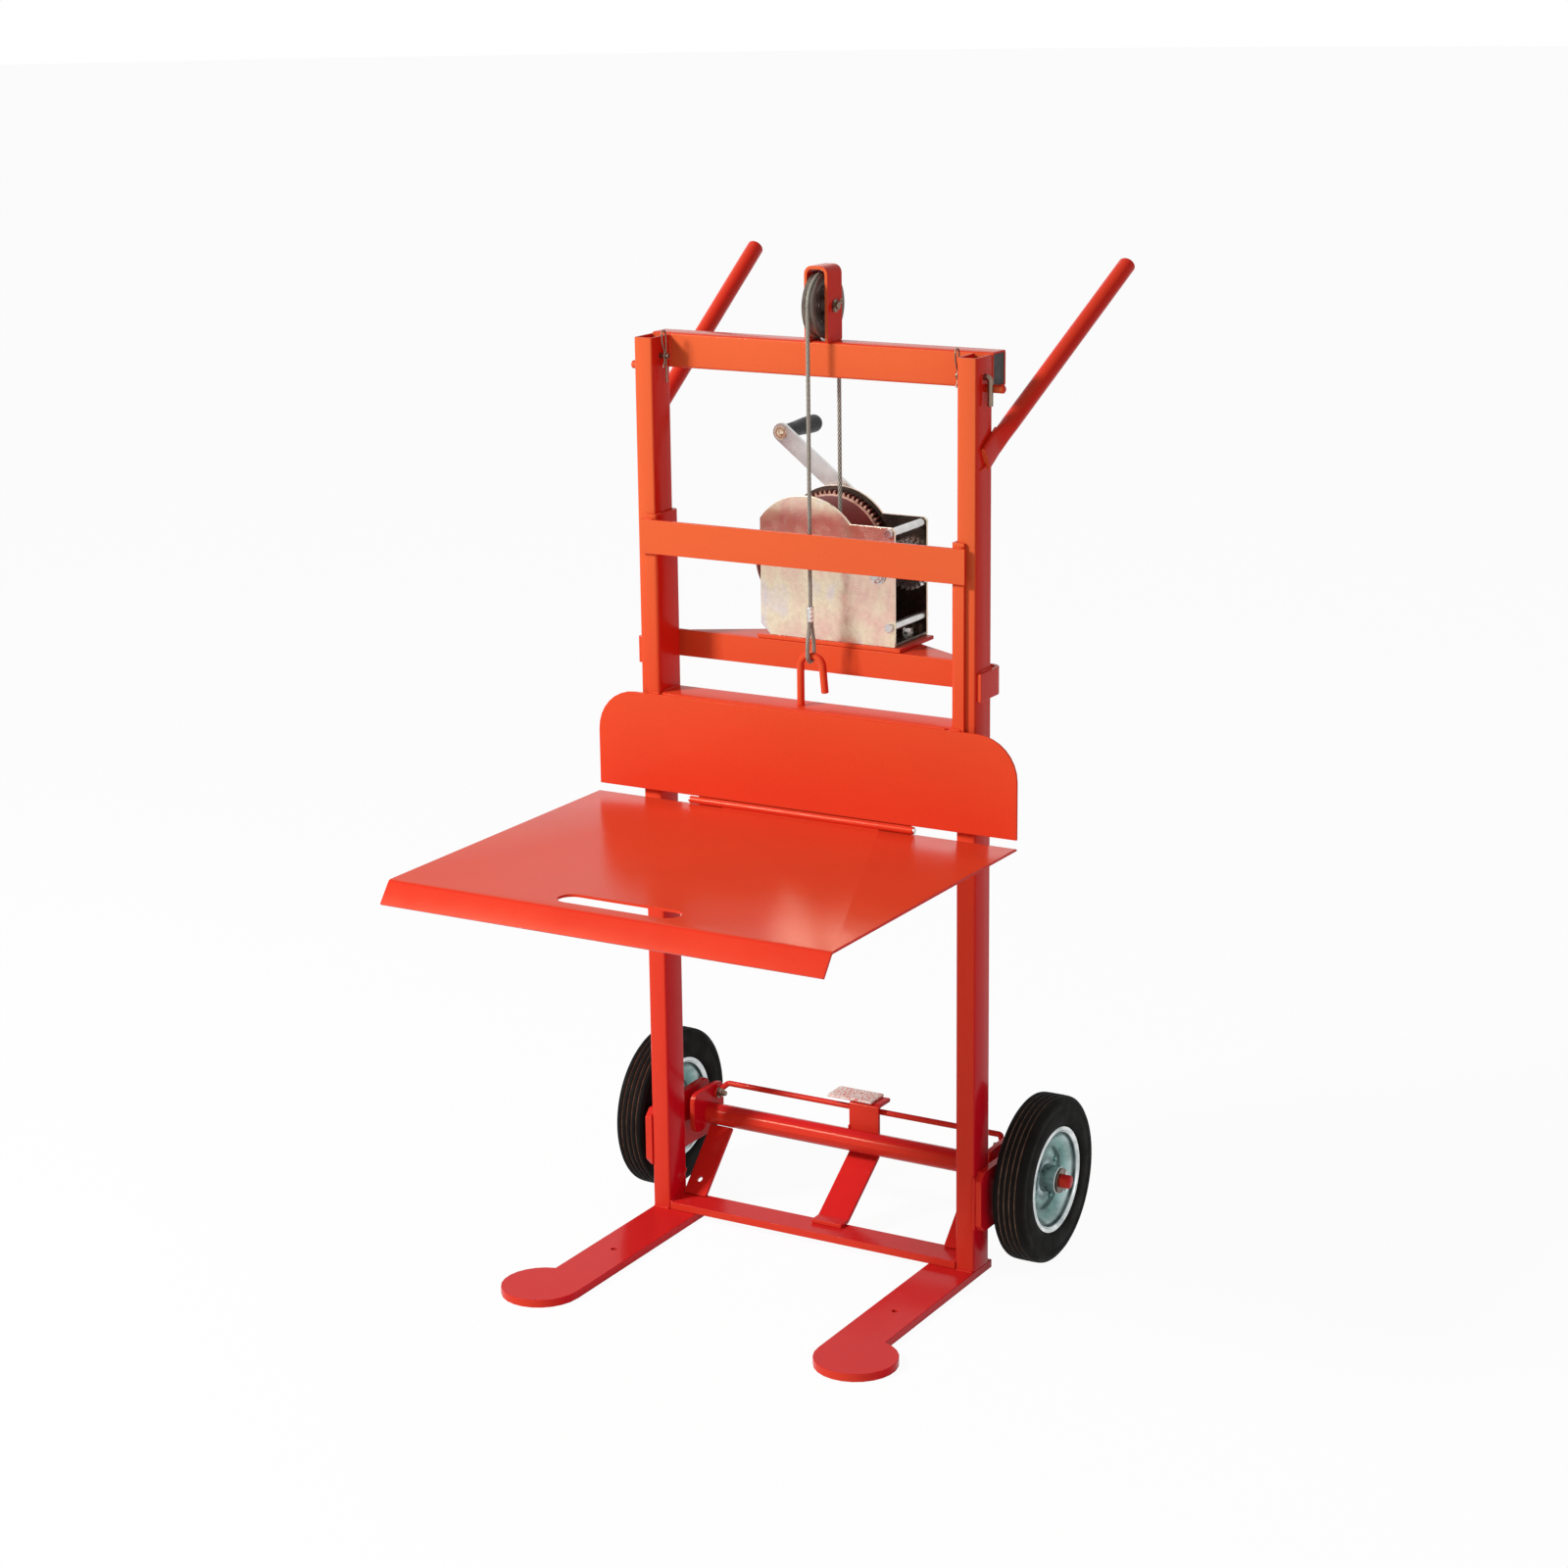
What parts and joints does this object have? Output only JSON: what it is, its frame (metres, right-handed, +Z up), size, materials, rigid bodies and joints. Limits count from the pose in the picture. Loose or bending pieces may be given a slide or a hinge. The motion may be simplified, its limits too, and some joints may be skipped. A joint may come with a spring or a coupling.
{
  "type": "lifting hand truck",
  "caption": "Lifting hand truck with a post mast on wheels and feet, whose fold-up platform is raised by rope, pulley and a geared hand winch.",
  "frame": {"origin": "on the floor, at the middle of the bounding box", "axes": "+Z up, +X to the right seen from the front, +Y from the platform towards the wheels, winch and handles"},
  "size_m": [0.736, 0.9808, 1.4565],
  "materials": {
    "red_paint": "glossy red enamel",
    "drum_paint": "dark red-brown paint, worn at the rims",
    "zinc": "bright zinc plating",
    "rim_zinc": "zinc plated pressed steel with a blue-green cast",
    "yellow_zinc": "yellow passivated zinc plating",
    "spring_steel": "bright spring wire",
    "cast_iron": "machined cast sheave",
    "tread_plate": "worn chequered plate",
    "black_plastic": "black moulded plastic",
    "rubber": "solid black rubber",
    "rope": "dark laid rope"
  },
  "bodies": {
    "mast": {"axle": "red_paint", "axle_bracket_left": "red_paint", "axle_bracket_right": "red_paint", "axle_tube": "red_paint", "base_bar": "red_paint", "drum_axle": "zinc", "end_plug_left": "black_plastic", "end_plug_right": "black_plastic", "foot_left": "red_paint", "foot_right": "red_paint", "handle_left": "red_paint", "handle_right": "red_paint", "mast_left": "red_paint", "mast_right": "red_paint", "pulley_bracket": "red_paint", "pulley_pin": "zinc", "rope_front": "rope", "rope_rear": "rope", "shelf_hoop": "red_paint", "shelf_plate": "red_paint", "stay_rod": "red_paint", "step_strap": "red_paint", "strut_left": "red_paint", "strut_right": "red_paint", "top_crossbar": "red_paint", "tread_plate": "tread_plate", "washer_left": "zinc", "washer_right": "zinc", "winch_frame": "yellow_zinc", "winch_pad": "red_paint", "winch_spacer_bottom": "zinc", "winch_spacer_top": "zinc"},
    "carriage": {"carriage_rail_left": "red_paint", "carriage_rail_right": "red_paint", "carriage_upper_bar": "red_paint", "carriage_lower_angle": "red_paint", "back_plate": "red_paint", "lift_hook": "red_paint", "ferrule": "zinc", "rope_eye": "rope", "hinge_pin": "zinc"},
    "platform": {"platform": "red_paint"},
    "drum": {"drum": "drum_paint", "drum_gear": "drum_paint", "rope_wraps": "rope"},
    "crank": {"pinion": "zinc", "pinion_shaft": "zinc", "brake_disc": "zinc", "crank_arm": "zinc", "crank_spindle": "zinc"},
    "grip": {"crank_grip": "black_plastic"},
    "pulley": {"pulley_wheel": "cast_iron"},
    "wheel_left": {"tyre_left": "rubber", "rim_left": "rim_zinc"},
    "wheel_right": {"tyre_right": "rubber", "rim_right": "rim_zinc"},
    "stop_pin_left": {"stop_pin_left": "zinc", "r_clip_left": "spring_steel"},
    "stop_pin_right": {"stop_pin_right": "zinc", "r_clip_right": "spring_steel"}
  },
  "joints": [
    {"name": "lift", "type": "slide", "parent": "mast", "child": "carriage", "axis": [0, 0, 1], "range_m": [-0.605, 0.205], "deforming": ["rope_front"]},
    {"name": "platform_fold", "type": "hinge", "parent": "carriage", "child": "platform", "pos_m": [0, 0.05921, 0.6748], "axis": [-1, 0, 0], "range_deg": [0, 90]},
    {"name": "drum_turn", "type": "hinge", "parent": "mast", "child": "drum", "pos_m": [-0.038, 0.19321, 1.03], "axis": [0, 1, 0], "range_deg": [-915, 312]},
    {"name": "crank_turn", "type": "hinge", "parent": "mast", "child": "crank", "pos_m": [0.0814, 0.19321, 1.018], "axis": [0, 1, 0], "range_deg": [-753, 2218]},
    {"name": "grip_spin", "type": "hinge", "parent": "crank", "child": "grip", "pos_m": [-0.14501, 0.32321, 1.1911], "axis": [0, 1, 0], "continuous": true},
    {"name": "pulley_turn", "type": "hinge", "parent": "mast", "child": "pulley", "pos_m": [0, 0.14021, 1.4], "axis": [-1, 0, 0], "range_deg": [-773, 264]},
    {"name": "wheel_left_spin", "type": "hinge", "parent": "mast", "child": "wheel_left", "pos_m": [-0.323, 0.20521, 0.125], "axis": [1, 0, 0], "continuous": true},
    {"name": "wheel_right_spin", "type": "hinge", "parent": "mast", "child": "wheel_right", "pos_m": [0.323, 0.20521, 0.125], "axis": [1, 0, 0], "continuous": true},
    {"name": "stop_pin_left_turn", "type": "hinge", "parent": "mast", "child": "stop_pin_left", "pos_m": [-0.275, 0.09821, 1.32], "axis": [-1, 0, 0], "range_deg": [0, 40]},
    {"name": "stop_pin_right_turn", "type": "hinge", "parent": "mast", "child": "stop_pin_right", "pos_m": [0.275, 0.09821, 1.32], "axis": [-1, 0, 0], "range_deg": [0, 40]}
  ],
  "couplings": [
    {"joint": "drum_turn", "follows": "lift", "rad_per_m": 26.316},
    {"joint": "crank_turn", "follows": "lift", "rad_per_m": -63.91},
    {"joint": "pulley_turn", "follows": "lift", "rad_per_m": 22.222}
  ]
}
